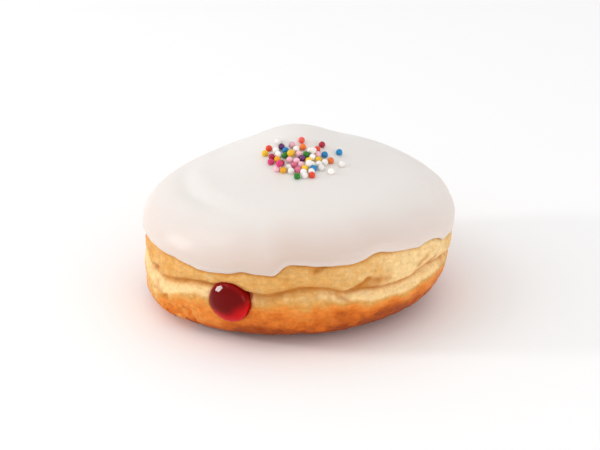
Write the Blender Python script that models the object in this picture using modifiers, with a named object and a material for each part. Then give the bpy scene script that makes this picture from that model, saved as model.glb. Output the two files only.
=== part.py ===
"""Filled round doughnut with white icing, a heap of sugar pearls on top and jam at the side.

Three solids: the dough with its seam and its injection channel, the icing with the
pearls fused to it, and the jam, which runs from the drop at the side into the middle.
Lengths are metres, +Z is up, and the origin is the middle of the flat underside.
Azimuths run from +X towards +Y. A tilt is 90 degrees at the top, 0 at the girth and
-90 at the underside.
"""

import math
import random

import bmesh
import bpy
from mathutils import Matrix, Vector

MM = 0.001

# Dough seen from above: a round, a little longer along one line and a little three-sided
PLAN_RADIUS = 42.5 * MM
OVAL_SHARE = 0.031
OVAL_AZIMUTH = math.radians(44)
THREE_SIDED_SHARE = 0.024
THREE_SIDED_AZIMUTH = math.radians(82)

# Dough seen from the side: two superellipses that meet at the girth. The base leans over.
GIRTH_HEIGHT = 20.7 * MM
BASE_DEPTH = 21.0 * MM
BASE_POWER = 5.5
BASE_LEAN = Vector((-4.3, 2.5, 0)) * MM
DOME_RISE = 15.3 * MM
DOME_POWER = 3.0

# The top rises to a hump behind its middle
HUMP_RISE = 7.1 * MM
HUMP_SPREAD = 11.2 * MM
HUMP_CENTRE = Vector((-1.6, 14.2, 0)) * MM

# Swells and hollows of the top. Each is its azimuth and half width in degrees, then its
# distance from the middle, half width and rise in millimetres.
TOP_SWELLS = (
    (25, 32, 34.0, 7.0, 0.9),
    (203, 32, 27.5, 3.0, 0.4),
    (203, 32, 32.6, 2.6, -0.9),
    (319, 24, 35.3, 3.0, -0.7),
    (319, 24, 40.0, 2.4, 0.4),
    (90, 26, 37.0, 4.0, -0.5),
)

# The seam between the two fried sides. A wave is its azimuth and half width in degrees
# and its rise in millimetres.
SEAM_HEIGHT = 17.3 * MM
SEAM_WAVES = (
    (20, 12, -0.6),
    (60, 20, 1.2),
    (110, 15, -1.4),
    (150, 12, 1.1),
    (211, 13, -3.1),
    (256, 6.5, -1.4),
    (273.5, 10, 1.4),
    (285.5, 4.5, -0.7),
    (306.5, 14, -1.0),
    (325, 4, 0.6),
    (346, 8.5, -2.2),
)
SEAM_DEPTH = 1.3 * MM
SEAM_WIDTH_ABOVE = 0.8 * MM
SEAM_WIDTH_BELOW = 1.7 * MM
UPPER_ROLL = (0.8 * MM, 3.4 * MM, 2.6 * MM)
LOWER_ROLL = (0.6 * MM, -5.0 * MM, 3.4 * MM)

# Hollows of the side at the left. Each is its azimuth and half width in degrees, then its
# height above the seam, half width and depth in millimetres.
SIDE_HOLLOWS = (
    (186, 26, 5.3, 2.5, 0.9),
    (190, 12, -7.3, 3.5, 1.1),
)

# The icing ends in broad tongues and small drips. A tongue is where it starts and ends in
# degrees and its drop in millimetres, and a drip is its azimuth, half width and drop.
ICING_EDGE_HEIGHT = 25.8 * MM
TONGUE_SOFTNESS = 2.2
ICING_TONGUES = (
    (24, 62, 1.6),
    (88, 128, 2.4),
    (150, 262.5, 3.3),
    (334, 373, 2.6),
)
ICING_DRIPS = (
    (45, 6, 1.0),
    (106, 7, 1.2),
    (172, 6, 0.8),
    (189, 7, 0.9),
    (236, 10, 0.8),
    (249.5, 4, -0.7),
    (285, 14, 1.0),
    (299, 5.5, -1.2),
    (319, 7.5, 0.8),
    (332, 4.5, 1.4),
    (344, 5.5, 1.0),
)
ICING_GAP = 0.3 * MM
ICING_THICKNESS = 1.2 * MM
ICING_LIP_BEVEL = 0.45 * MM

# Jam: a drop at the seam, a funnel and a channel behind it, and a pocket in the middle
JAM_AZIMUTH = math.radians(244.3)
JAM_HEIGHT = 14.2 * MM
JAM_DIP = math.radians(6)
JAM_RADIUS = 5.7 * MM
JAM_BULGE = 2.6 * MM
JAM_LIP = 0.4 * MM
JAM_FUNNEL = 6.0 * MM
JAM_CHANNEL_RADIUS = 3.2 * MM
JAM_POCKET_CENTRE = 42.0 * MM
JAM_POCKET_HALF_LENGTH = 16.0 * MM
JAM_POCKET_RADIUS = 8.5 * MM
JAM_GAP = 0.3 * MM
MOUTH_CLEARANCE = 6.0 * MM

# Sugar pearls in a heap on the middle of the icing. The coloured ones are placed by hand,
# in millimetres. The rest fall at random into the gaps between them, and then all of them
# push each other apart until none overlap.
PEARL_RADIUS = 0.95 * MM
PEARL_COUNT = 52
PEARL_SINK = 0.36 * MM
PEARL_SPACING = 1.94 * MM
PEARL_TRIES = 6000
FALLING_SPACING = 1.6 * MM
PUSHES = 60
HEAP_CENTRE = Vector((-0.8, -1.8, 0)) * MM
HEAP_REACH = Vector((7.4, 6.6, 0)) * MM
HEAP_CROWDING = 0.55
HEAP_SEED = 7
PICKED_OUT_PEARLS = (
    ((-8.6, 3.7), (3.9, 2.8), (2.9, -9.4), (-9.7, 1.7), (-2.6, 0.9), (2.3, -2.2), (4.6, -1.4))
    + ((0.9, -6.0), (-6.7, -1.5), (-4.6, -6.8), (-7.5, -0.4), (5.4, 5.3), (-2.0, -4.6))
    + ((-8.1, -2.5), (-5.4, -3.4), (-3.0, -2.0), (-1.0, -2.1), (-0.8, -6.9), (-6.6, -6.2))
    + ((0.3, 3.3), (7.7, -1.4), (-5.2, 3.5), (0.2, -1.1), (-4.2, 1.9), (5.9, 1.1))
    + ((3.2, -5.5), (-4.5, 0.2), (1.3, 0.2), (-1.1, -10.3), (0.0, 5.9))
)
STRAY_PEARLS = ((10.2, 3.6), (0.9, -9.7), (5.4, -5.2), (11.1, -2.4), (8.1, -7.1), (-6.0, 6.3))

# Mesh fineness
SEGMENTS = 72
ROWS_BELOW_SEAM = 13
ROWS_SEAM_TO_ICING = 5
ROWS_UNDER_ICING = 13
CROWDING_AT_SEAM = 1.5
CROWDING_AT_EDGE = 1.25
JAM_STEPS = 24
PEARL_SEGMENTS = 6
PEARL_ROWS = 4
SLOPE_STEP = math.radians(0.5)
MERGE_DISTANCE = 0.02 * MM


def angle_between(azimuth, other):
    """Signed angle from one azimuth to another, from -pi to pi."""
    return (azimuth - other + math.pi) % math.tau - math.pi


def bell(distance, width):
    """A smooth rise from 0 to 1 and back, this wide."""
    return math.exp(-((distance / width) ** 2))


def waves(azimuth, table):
    """Sum of the waves in a table of azimuth, half width and rise."""
    return sum(
        rise * MM * bell(angle_between(azimuth, math.radians(at)), math.radians(half))
        for at, half, rise in table
    )


def seam_height(azimuth):
    return SEAM_HEIGHT + waves(azimuth, SEAM_WAVES)


def tongue_share(azimuth, start, end):
    """1 inside a tongue of icing and 0 outside it, with soft sides."""
    middle = math.radians((start + end) / 2)
    half = (end - start) / 2
    away = abs(math.degrees(angle_between(azimuth, middle)))
    return 0.5 * (1 - math.tanh((away - half) / TONGUE_SOFTNESS))


def icing_edge_height(azimuth):
    """Height of the icing's lower edge above the table."""
    tongues = sum(
        drop * MM * tongue_share(azimuth, start, end) for start, end, drop in ICING_TONGUES
    )
    return ICING_EDGE_HEIGHT - tongues - waves(azimuth, ICING_DRIPS)


def seam_relief(azimuth, height):
    """How far the side stands out: in at the seam and the hollows, out in the rolls."""
    above = height - seam_height(azimuth)
    groove = bell(above, SEAM_WIDTH_ABOVE if above > 0 else SEAM_WIDTH_BELOW)
    rolls = sum(rise * bell(above - at, width) for rise, at, width in (UPPER_ROLL, LOWER_ROLL))
    hollows = sum(
        depth * MM
        * bell(angle_between(azimuth, math.radians(at)), math.radians(half))
        * bell(above - reach * MM, width * MM)
        for at, half, reach, width, depth in SIDE_HOLLOWS
    )
    return rolls - SEAM_DEPTH * groove - hollows


def tilt_at_height(height):
    """Tilt of the side where its plain profile has this height."""
    rise, power = (DOME_RISE, DOME_POWER) if height > GIRTH_HEIGHT else (BASE_DEPTH, BASE_POWER)
    share = (height - GIRTH_HEIGHT) / rise
    slope = abs(share) / (1 - abs(share) ** power) ** (1 / power)
    return math.copysign(math.atan(slope), share)


def plan_radius(azimuth):
    """Radius of the girth in this direction."""
    oval = OVAL_SHARE * math.cos(2 * (azimuth - OVAL_AZIMUTH))
    three_sided = THREE_SIDED_SHARE * math.cos(3 * (azimuth - THREE_SIDED_AZIMUTH))
    return PLAN_RADIUS * (1 + oval + three_sided)


def swell(azimuth, radius):
    """Rise of the top's swells and hollows at this distance from the middle."""
    return sum(
        rise * MM
        * bell(angle_between(azimuth, math.radians(at)), math.radians(half))
        * bell(radius - reach * MM, width * MM)
        for at, half, reach, width, rise in TOP_SWELLS
    )


def skin(azimuth, tilt):
    """Point on the dough's outside."""
    power = DOME_POWER if tilt > 0 else BASE_POWER
    across, up = math.cos(tilt), math.sin(tilt)
    size = (abs(across) ** power + abs(up) ** power) ** (1 / power)
    across, up = across / size, up / size
    radius = plan_radius(azimuth) * across
    outward = Vector((math.cos(azimuth), math.sin(azimuth), 0))
    if tilt > 0:
        point = outward * radius + Vector((0, 0, GIRTH_HEIGHT + DOME_RISE * up))
        away = (point - HUMP_CENTRE).to_2d().length
        point.z += HUMP_RISE * up * math.exp(-(away**2) / (2 * HUMP_SPREAD**2))
        point.z += swell(azimuth, radius) * up
    else:
        point = outward * radius + BASE_LEAN * up**2
        point.z = GIRTH_HEIGHT + BASE_DEPTH * up
    point += outward * seam_relief(azimuth, point.z) * across
    point.z = max(point.z, 0)
    return point


def skin_normal(azimuth, tilt):
    """Outward direction of the dough's outside."""
    along = skin(azimuth + SLOPE_STEP, tilt) - skin(azimuth - SLOPE_STEP, tilt)
    tilt = min(tilt, math.pi / 2 - 2 * SLOPE_STEP)
    upward = skin(azimuth, tilt + SLOPE_STEP) - skin(azimuth, tilt - SLOPE_STEP)
    if along.length < SLOPE_STEP * MM:
        return Vector((0, 0, 1))
    return along.cross(upward).normalized()


def icing_top(x, y):
    """Point on the icing's upper surface over this place, and the way it faces."""
    azimuth = math.atan2(y, x)
    reach = math.hypot(x, y)
    low, high = 0.0, math.pi / 2
    for _ in range(30):
        middle = (low + high) / 2
        if skin(azimuth, middle).to_2d().length > reach:
            low = middle
        else:
            high = middle
    facing = skin_normal(azimuth, high)
    return skin(azimuth, high) + facing * (ICING_GAP + ICING_THICKNESS), facing


def collection(name):
    made = bpy.data.collections.new(name)
    bpy.context.scene.collection.children.link(made)
    return made


def material(name, colour, roughness):
    """A plain food material with its colour and roughness."""
    made = bpy.data.materials.new(name)
    made.use_nodes = True
    shader = made.node_tree.nodes["Principled BSDF"]
    shader.inputs["Base Color"].default_value = (*colour, 1)
    shader.inputs["Roughness"].default_value = roughness
    shader.inputs["Metallic"].default_value = 0
    return made


def add_object(name, mesh_builder, group, finish=None):
    """New smooth-shaded mesh object from a bmesh, in a collection."""
    mesh = bpy.data.meshes.new(name)
    mesh_builder.to_mesh(mesh)
    mesh_builder.free()
    mesh.shade_smooth()
    if finish:
        mesh.materials.append(finish)
    made = bpy.data.objects.new(name, mesh)
    group.objects.link(made)
    return made


def azimuth_and_fraction(vertex):
    """Azimuth of a unit sphere's vertex, and how far it is from the lower to the upper pole."""
    polar = math.acos(max(-1, min(1, vertex.co.z)))
    return math.atan2(vertex.co.y, vertex.co.x), 1 - polar / math.pi


def tilt_under_icing(azimuth, climbed):
    """Tilt of a row between the icing's edge, at 0, and the top, at 1."""
    edge = tilt_at_height(icing_edge_height(azimuth))
    return edge + (math.pi / 2 - edge) * climbed**CROWDING_AT_EDGE


def dough_tilt(azimuth, fraction):
    """Tilt of a row of the dough's mesh. One row lies in the seam and one at the icing's edge."""
    row = fraction * (ROWS_BELOW_SEAM + ROWS_SEAM_TO_ICING + ROWS_UNDER_ICING)
    seam = tilt_at_height(seam_height(azimuth))
    if row <= ROWS_BELOW_SEAM:
        return seam - (seam + math.pi / 2) * (1 - row / ROWS_BELOW_SEAM) ** CROWDING_AT_SEAM
    row -= ROWS_BELOW_SEAM
    if row <= ROWS_SEAM_TO_ICING:
        edge = tilt_under_icing(azimuth, 0)
        return seam + (edge - seam) * (row / ROWS_SEAM_TO_ICING) ** CROWDING_AT_SEAM
    return tilt_under_icing(azimuth, (row - ROWS_SEAM_TO_ICING) / ROWS_UNDER_ICING)


def make_dough(group, finish):
    """The bun: a sphere whose vertices are moved onto the dough's outside."""
    shape = bmesh.new()
    bmesh.ops.create_uvsphere(
        shape,
        u_segments=SEGMENTS,
        v_segments=ROWS_BELOW_SEAM + ROWS_SEAM_TO_ICING + ROWS_UNDER_ICING,
        radius=1,
    )
    for vertex in shape.verts:
        azimuth, fraction = azimuth_and_fraction(vertex)
        vertex.co = skin(azimuth, dough_tilt(azimuth, fraction))
    bmesh.ops.recalc_face_normals(shape, faces=shape.faces)
    return add_object("dough", shape, group, finish)


def make_icing(group, finish):
    """The icing: an upper half sphere laid over the dough, then thickened outwards."""
    shape = bmesh.new()
    bmesh.ops.create_uvsphere(
        shape, u_segments=SEGMENTS, v_segments=2 * ROWS_UNDER_ICING, radius=1
    )
    below = [vertex for vertex in shape.verts if vertex.co.z < -MERGE_DISTANCE]
    bmesh.ops.delete(shape, geom=below, context="VERTS")
    for vertex in shape.verts:
        azimuth, fraction = azimuth_and_fraction(vertex)
        tilt = tilt_under_icing(azimuth, 2 * fraction - 1)
        vertex.co = skin(azimuth, tilt) + skin_normal(azimuth, tilt) * ICING_GAP
    bmesh.ops.recalc_face_normals(shape, faces=shape.faces)
    icing = add_object("icing", shape, group, finish)
    shell = icing.modifiers.new("thickness", "SOLIDIFY")
    shell.thickness = ICING_THICKNESS
    shell.offset = 1
    shell.use_even_offset = True
    lip = icing.modifiers.new("rounded lip", "BEVEL")
    lip.limit_method = "ANGLE"
    lip.angle_limit = math.radians(60)
    lip.width = ICING_LIP_BEVEL
    lip.segments = 2
    return icing


def jam_profile(grow, mouth):
    """Half section of the jam as (radius, place along its axis), from the mouth inwards.

    The drop's rim is at 0 and outwards is positive. grow makes it that much fatter all
    round, and a mouth above 0 ends it in a plain cylinder of that length instead of a drop.
    """
    rim = JAM_RADIUS + grow
    points = []
    if mouth:
        points += [(0, mouth), (rim, mouth)]
    else:
        steps = 6
        curve = (JAM_RADIUS**2 + JAM_BULGE**2) / (2 * JAM_BULGE)
        widest = math.asin(JAM_RADIUS / curve)
        for step in range(steps + 1):
            turn = widest * step / steps
            drop = curve * (1 - math.cos(turn))
            points.append((curve * math.sin(turn), JAM_BULGE - drop))
    funnel_steps = 5
    for step in range(funnel_steps + 1):
        share = step / funnel_steps
        radius = JAM_CHANNEL_RADIUS + (JAM_RADIUS - JAM_CHANNEL_RADIUS) * math.cos(
            share * math.pi / 2
        )
        points.append((radius + grow, -JAM_LIP - JAM_FUNNEL * share))
    joins = math.asin(JAM_CHANNEL_RADIUS / JAM_POCKET_RADIUS)
    pocket_steps = 8
    for step in range(pocket_steps + 1):
        turn = joins + (math.pi - joins) * step / pocket_steps
        radius = (JAM_POCKET_RADIUS + grow) * math.sin(turn)
        along = (JAM_POCKET_HALF_LENGTH + grow) * math.cos(turn)
        points.append((max(radius, 0), along - JAM_POCKET_CENTRE))
    points[-1] = (0, points[-1][1])
    return points


def jam_frame():
    """Placement of the jam: its own +Z points out of the side, a little downwards."""
    mouth = skin(JAM_AZIMUTH, tilt_at_height(JAM_HEIGHT))
    level = math.cos(JAM_DIP)
    outward = Vector(
        (level * math.cos(JAM_AZIMUTH), level * math.sin(JAM_AZIMUTH), -math.sin(JAM_DIP))
    )
    return Matrix.Translation(mouth) @ outward.to_track_quat("Z", "Y").to_matrix().to_4x4()


def turned(name, profile, group, finish=None):
    """A profile of (radius, height) turned round Z by a Screw modifier."""
    shape = bmesh.new()
    corners = [shape.verts.new((radius, 0, height)) for radius, height in profile]
    for first, second in zip(corners, corners[1:], strict=False):
        shape.edges.new((first, second))
    made = add_object(name, shape, group, finish)
    screw = made.modifiers.new("turn", "SCREW")
    screw.steps = JAM_STEPS
    screw.render_steps = JAM_STEPS
    screw.use_merge_vertices = True
    screw.merge_threshold = MERGE_DISTANCE
    made.matrix_world = jam_frame()
    return made


def heap_places():
    """Places of the pearls seen from above, each clear of the others."""
    draws = random.Random(HEAP_SEED)
    places = [Vector((x, y, 0)) * MM for x, y in PICKED_OUT_PEARLS + STRAY_PEARLS]
    for _ in range(PEARL_TRIES):
        share = draws.random() ** HEAP_CROWDING
        turn = draws.random() * math.tau
        place = HEAP_CENTRE + HEAP_REACH * Vector((math.cos(turn), math.sin(turn), 0)) * share
        if min((place - other).length for other in places) > FALLING_SPACING:
            places.append(place)
        if len(places) == PEARL_COUNT:
            break
    for _ in range(PUSHES):
        places = [place + push(place, places) for place in places]
    return places


def push(place, places):
    """Half the way out of every pearl that this one overlaps."""
    way = Vector()
    for other in places:
        step = place - other
        if 0 < step.length < PEARL_SPACING:
            way += step.normalized() * (PEARL_SPACING - step.length) / 2
    return way


def fuse_pearls(icing):
    """Pearls set a little into the icing, joined to it by one Boolean."""
    pearls = collection("pearls to fuse")
    for number, place in enumerate(heap_places()):
        top, facing = icing_top(place.x, place.y)
        shape = bmesh.new()
        bmesh.ops.create_uvsphere(
            shape, u_segments=PEARL_SEGMENTS, v_segments=PEARL_ROWS, radius=PEARL_RADIUS
        )
        pearl = add_object(f"pearl_{number:02d}", shape, pearls)
        turn = Matrix.Rotation(number, 4, "Z") @ Matrix.Rotation(0.7 * number, 4, "X")
        centre = top + facing * (PEARL_RADIUS - PEARL_SINK)
        pearl.matrix_world = Matrix.Translation(centre) @ turn
    join = icing.modifiers.new("pearls", "BOOLEAN")
    join.operation = "UNION"
    join.operand_type = "COLLECTION"
    join.collection = pearls
    join.solver = "EXACT"
    apply_modifiers(icing)
    for pearl in list(pearls.objects):
        bpy.data.objects.remove(pearl)
    bpy.data.collections.remove(pearls)


def apply_modifiers(made):
    """The object's mesh becomes what its modifiers made of it."""
    bpy.context.view_layer.update()
    seen = made.evaluated_get(bpy.context.evaluated_depsgraph_get())
    mesh = bpy.data.meshes.new_from_object(seen)
    made.modifiers.clear()
    made.data = mesh


def main():
    for old in list(bpy.data.objects):
        bpy.data.objects.remove(old)
    doughnut = collection("doughnut")
    cutters = collection("cutters")
    crust = material("fried dough", (0.72, 0.38, 0.12), 0.6)
    sugar = material("white icing", (0.88, 0.85, 0.80), 0.3)
    fruit = material("red jam", (0.26, 0.008, 0.008), 0.1)

    dough = make_dough(doughnut, crust)
    turned("jam", jam_profile(0, 0), doughnut, fruit)
    hollow = turned("jam hollow", jam_profile(JAM_GAP, MOUTH_CLEARANCE), cutters)
    hollow.hide_render = True
    hollow.display_type = "WIRE"
    cut = dough.modifiers.new("jam hollow", "BOOLEAN")
    cut.operation = "DIFFERENCE"
    cut.object = hollow
    cut.solver = "EXACT"

    icing = make_icing(doughnut, sugar)
    fuse_pearls(icing)


main()
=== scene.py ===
"""Jam-filled doughnut with white icing and a heap of sugar pearls.

The dough, the icing, the jam and the pearls are surfaces worked out with numpy from one form,
the bun's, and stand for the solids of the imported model. Sizes are millimetres and angles are
degrees throughout. Only the last step, which puts a surface into a mesh, turns them to metres.
Azimuths run from +X towards +Y. A tilt is 90 degrees at the top, 0 at the girth and -90 at
the underside.
"""

import logging
from dataclasses import dataclass, field
from enum import Enum
from random import Random

import bmesh
import bpy
import numpy as np
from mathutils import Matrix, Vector


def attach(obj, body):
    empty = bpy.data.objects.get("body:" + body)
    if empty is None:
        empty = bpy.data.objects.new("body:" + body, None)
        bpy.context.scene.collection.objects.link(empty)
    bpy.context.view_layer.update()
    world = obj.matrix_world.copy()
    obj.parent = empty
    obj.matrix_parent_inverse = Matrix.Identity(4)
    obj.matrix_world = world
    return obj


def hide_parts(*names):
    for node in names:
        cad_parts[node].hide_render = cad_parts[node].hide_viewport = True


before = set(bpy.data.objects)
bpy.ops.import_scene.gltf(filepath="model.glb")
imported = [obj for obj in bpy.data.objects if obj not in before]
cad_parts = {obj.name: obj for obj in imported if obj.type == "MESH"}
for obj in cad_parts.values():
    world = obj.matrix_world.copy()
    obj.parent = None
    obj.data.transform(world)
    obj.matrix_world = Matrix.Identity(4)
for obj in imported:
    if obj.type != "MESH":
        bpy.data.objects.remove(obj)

MM = 0.001
BODY = "root"
LOG = logging.getLogger("doughnut")
Array = np.ndarray
Place = tuple[float, float]
Piece = bpy.types.Object
Material = bpy.types.Material
Tree = bpy.types.NodeTree
Node = bpy.types.Node
Socket = bpy.types.NodeSocket


def bell(distance: Array | float, width: float) -> Array:
    """Rise from 0 to 1 and back: e to the minus square of distance over width."""
    return np.exp(-((np.asarray(distance) / width) ** 2))


def ramp(value: Array, low: float, high: float) -> Array:
    """Smooth step from 0 at low to 1 at high: 3 t squared minus 2 t cubed."""
    share = np.clip((value - low) / (high - low), 0, 1)
    return share * share * (3 - 2 * share)


def lengths(vectors: Array) -> Array:
    """Lengths of the vectors along the last axis."""
    return np.sqrt((vectors**2).sum(-1))


def turned_from(azimuth: Array, other: float) -> Array:
    """Signed angle in degrees from one azimuth to another, from -180 to 180."""
    return (azimuth - other + 180) % 360 - 180


def azimuths_of(columns: int) -> Array:
    """Azimuths of this many columns, evenly round the bun."""
    return np.arange(columns) * 360 / columns


def directions(azimuth: Array) -> Array:
    """Level unit vectors that point along the azimuths."""
    turn = np.radians(azimuth)
    return np.stack([np.cos(turn), np.sin(turn), np.zeros_like(turn)], -1)


@dataclass(frozen=True)
class Lumps:
    """Smooth noise in space, for lumps of this width and rise on a surface.

    Random values on a cubic lattice are blended smoothly between the corners of each cube.
    Each octave is half as high and half as wide as the one before. Flatness is how many times
    wider than high the lumps are.
    """

    seed: int
    width: float
    rise: float = 1.0
    octaves: int = 1
    flatness: float = 1.0
    cells: int = 24

    def layer(self, values: Array, places: Array) -> Array:
        """Blend the eight corner values round each place by smooth steps along each axis.

        Args:
            values: the lattice, which repeats after its last cell.
            places: places in cells.

        Returns:
            Blended values, from -1 to 1.
        """
        corner = np.floor(places).astype(int)
        share = ramp(places - corner, 0, 1)
        total = np.zeros(places.shape[:-1])
        for step in np.ndindex(2, 2, 2):
            weight = np.where(step, share, 1 - share).prod(-1)
            index = (corner + step) % self.cells
            total += weight * values[index[..., 0], index[..., 1], index[..., 2]]
        return total

    def at(self, points: Array) -> Array:
        """Sum of the octaves here.

        Args:
            points: places in millimetres.

        Returns:
            Heights, from about minus to plus the rise.
        """
        values = np.random.default_rng(self.seed).uniform(-1, 1, (self.cells,) * 3)
        places = points * np.array([1.0, 1.0, self.flatness]) / self.width
        total = np.zeros(points.shape[:-1])
        for octave in range(self.octaves):
            total += self.layer(values, places * 2**octave + 7.3 * octave) / 2**octave
        return self.rise * total


@dataclass(frozen=True)
class Wave:
    """A local rise of a line that runs round the bun, or of a share."""

    azimuth: float
    half_width: float
    rise: float

    def at(self, azimuth: Array) -> Array:
        """Rise here, a bell round the wave's azimuth."""
        return self.rise * bell(turned_from(azimuth, self.azimuth), self.half_width)


@dataclass(frozen=True)
class Tongue:
    """A broad stretch where the icing has run further down."""

    start: float
    end: float
    drop: float
    softness: float = 2.2

    def at(self, azimuth: Array) -> Array:
        """Drop here: level inside the stretch, with sides that follow a hyperbolic tangent."""
        away = np.abs(turned_from(azimuth, (self.start + self.end) / 2))
        return self.drop * 0.5 * (1 - np.tanh((away - (self.end - self.start) / 2) / self.softness))


@dataclass(frozen=True)
class Swell:
    """A swell or hollow round an azimuth, across a line that runs round the bun.

    On the top the line is a distance from the middle, and at the side a height.
    """

    azimuth: float
    half_angle: float
    line: float
    half_width: float
    rise: float = 1.0

    def at(self, azimuth: Array, across: Array) -> Array:
        """Rise here, a bell along the azimuth times a bell across the line."""
        along = bell(turned_from(azimuth, self.azimuth), self.half_angle)
        return self.rise * along * bell(across - self.line, self.half_width)


@dataclass(frozen=True)
class Roll:
    """A bulge that runs round the side, at a height above the seam."""

    rise: float
    above_seam: float
    half_width: float


@dataclass(frozen=True)
class BunForm:
    """The outside of the fried dough, which every other piece lies on or comes out of.

    The side view is a pair of superellipses that meet at the girth, the plan is a round with a
    two-sided and a three-sided share, and the top has a hump behind its middle.
    """

    plan_radius: float = 42.5
    oval_share: float = 0.031
    oval_azimuth: float = 44
    three_sided_share: float = 0.024
    three_sided_azimuth: float = 82
    girth_height: float = 20.7
    base_depth: float = 21.0
    base_power: float = 5.5
    base_lean: Place = (-4.3, 2.5)
    dome_rise: float = 15.3
    dome_power: float = 3.0
    hump_rise: float = 7.1
    hump_spread: float = 11.2
    hump_centre: Place = (-1.6, 14.2)
    swells: tuple[Swell, ...] = (
        Swell(25, 32, 34.0, 7.0, 0.9),
        Swell(203, 32, 27.5, 3.0, 0.4),
        Swell(203, 32, 32.6, 2.6, -0.9),
        Swell(319, 24, 35.3, 3.0, -0.7),
        Swell(319, 24, 40.0, 2.4, 0.4),
        Swell(90, 26, 37.0, 4.0, -0.5),
    )
    seam_level: float = 17.3
    seam_waves: tuple[Wave, ...] = (
        Wave(20, 12, -0.6), Wave(60, 20, 1.2), Wave(110, 15, -1.4), Wave(150, 12, 1.1),
        Wave(211, 13, -3.1), Wave(256, 6.5, -1.4), Wave(273.5, 10, 1.4), Wave(285.5, 4.5, -0.7),
        Wave(306.5, 14, -1.0), Wave(325, 4, 0.6), Wave(346, 8.5, -2.2),
    )
    seam_depth: float = 1.3
    seam_width_above: float = 0.8
    seam_width_below: float = 1.7
    rolls: tuple[Roll, ...] = (Roll(0.8, 3.4, 2.6), Roll(0.6, -5.0, 3.4))
    hollows: tuple[Swell, ...] = (Swell(186, 26, 5.3, 2.5, 0.9), Swell(190, 12, -7.3, 3.5, 1.1))

    def seam_height(self, azimuth: Array) -> Array:
        """Height of the seam above the table."""
        return self.seam_level + sum(wave.at(azimuth) for wave in self.seam_waves)

    def side_relief(self, azimuth: Array, height: Array) -> Array:
        """How far the side stands out: in at the seam and the hollows, out in the rolls.

        The seam is a bell that is narrower above than below, and the rolls are bells.

        Args:
            azimuth: azimuths of the places.
            height: heights of the places above the table.

        Returns:
            Distances in millimetres.
        """
        above = height - self.seam_height(azimuth)
        seam_widths = np.where(above > 0, self.seam_width_above, self.seam_width_below)
        rolls = sum(roll.rise * bell(above - roll.above_seam, roll.half_width) for roll in self.rolls)
        hollows = sum(hollow.at(azimuth, above) for hollow in self.hollows)
        return rolls - self.seam_depth * bell(above, seam_widths) - hollows

    def tilt_at_height(self, height: Array) -> Array:
        """Tilt at which the plain side view has this height: its superellipse, solved for tilt.

        Args:
            height: heights above the table.

        Returns:
            Tilts in degrees.
        """
        upper = height > self.girth_height
        rise = np.where(upper, self.dome_rise, self.base_depth)
        power = np.where(upper, self.dome_power, self.base_power)
        share = (height - self.girth_height) / rise
        slope = np.abs(share) / (1 - np.abs(share) ** power) ** (1 / power)
        return np.degrees(np.arctan(slope)) * np.sign(share)

    def skin(self, azimuth: Array, tilt: Array) -> Array:
        """Points on the dough's outside.

        A direction in the side view is scaled so that the powers of its two parts sum to 1.
        The level part times the plan's radius gives the reach, and the upright part times the
        dome's rise or the base's depth gives the height. The hump is a bell on the plan, and
        the base leans by the square of the upright part.

        Args:
            azimuth: direction on the plan.
            tilt: direction in the side view.

        Returns:
            Points in millimetres, along the last axis.
        """
        azimuth, tilt = np.broadcast_arrays(azimuth, tilt)
        upper = tilt > 0
        power = np.where(upper, self.dome_power, self.base_power)
        across, up = np.cos(np.radians(tilt)), np.sin(np.radians(tilt))
        size = (np.abs(across) ** power + np.abs(up) ** power) ** (1 / power)
        across, up = across / size, up / size
        oval = self.oval_share * np.cos(np.radians(2 * (azimuth - self.oval_azimuth)))
        three = self.three_sided_share * np.cos(np.radians(3 * (azimuth - self.three_sided_azimuth)))
        radius = self.plan_radius * (1 + oval + three) * across
        outward = directions(azimuth)
        points = outward * radius[..., None]
        away = lengths(points[..., :2] - np.array(self.hump_centre))
        top = self.hump_rise * np.exp(-(away**2) / (2 * self.hump_spread**2))
        top = top + sum(swell.at(azimuth, radius) for swell in self.swells)
        height = self.girth_height + np.where(upper, self.dome_rise + top, self.base_depth) * up
        points[..., :2] += np.where(upper, 0, up**2)[..., None] * np.array(self.base_lean)
        points += outward * (self.side_relief(azimuth, height) * across)[..., None]
        points[..., 2] = np.maximum(height, 0)
        return points

    def normals(self, azimuth: Array, tilt: Array, step: float = 0.5) -> Array:
        """Outward unit normals: the cross product of the slopes along the two directions.

        Args:
            azimuth: direction on the plan.
            tilt: direction in the side view.
            step: how far to each side the slope is taken, in degrees.

        Returns:
            Unit vectors. At a pole, where there is no slope, they point straight up or down.
        """
        azimuth, tilt = np.broadcast_arrays(azimuth, tilt)
        along = self.skin(azimuth + step, tilt) - self.skin(azimuth - step, tilt)
        steady = np.clip(tilt, -90 + 2 * step, 90 - 2 * step)
        upward = self.skin(azimuth, steady + step) - self.skin(azimuth, steady - step)
        normal = np.cross(along, upward)
        size = lengths(normal)
        pole = np.array([0, 0, 1.0]) * np.where(tilt > 0, 1, -1)[..., None]
        return np.where((size > 1e-6)[..., None], normal / np.maximum(size, 1e-9)[..., None], pole)


def linear(colour: str) -> tuple[float, float, float, float]:
    """Turn an sRGB colour written as hex into Blender's linear values, by the sRGB curve.

    Args:
        colour: hash sign and six hex digits.

    Returns:
        Red, green, blue and an opaque alpha.
    """
    parts = np.array([int(colour[at : at + 2], 16) for at in (1, 3, 5)]) / 255
    bright = ((parts + 0.055) / 1.055) ** 2.4
    red, green, blue = np.where(parts <= 0.04045, parts / 12.92, bright)
    return float(red), float(green), float(blue), 1.0


def feed(node: Node, inputs: dict | tuple) -> None:
    """Set a node's inputs, or link those that the output socket of another node feeds.

    Args:
        node: the node.
        inputs: a value or an output socket for each input, by its name or number, or in order.
    """
    for name, value in inputs.items() if isinstance(inputs, dict) else enumerate(inputs):
        if isinstance(value, Socket):
            node.id_data.links.new(value, node.inputs[name])
        else:
            node.inputs[name].default_value = value


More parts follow.
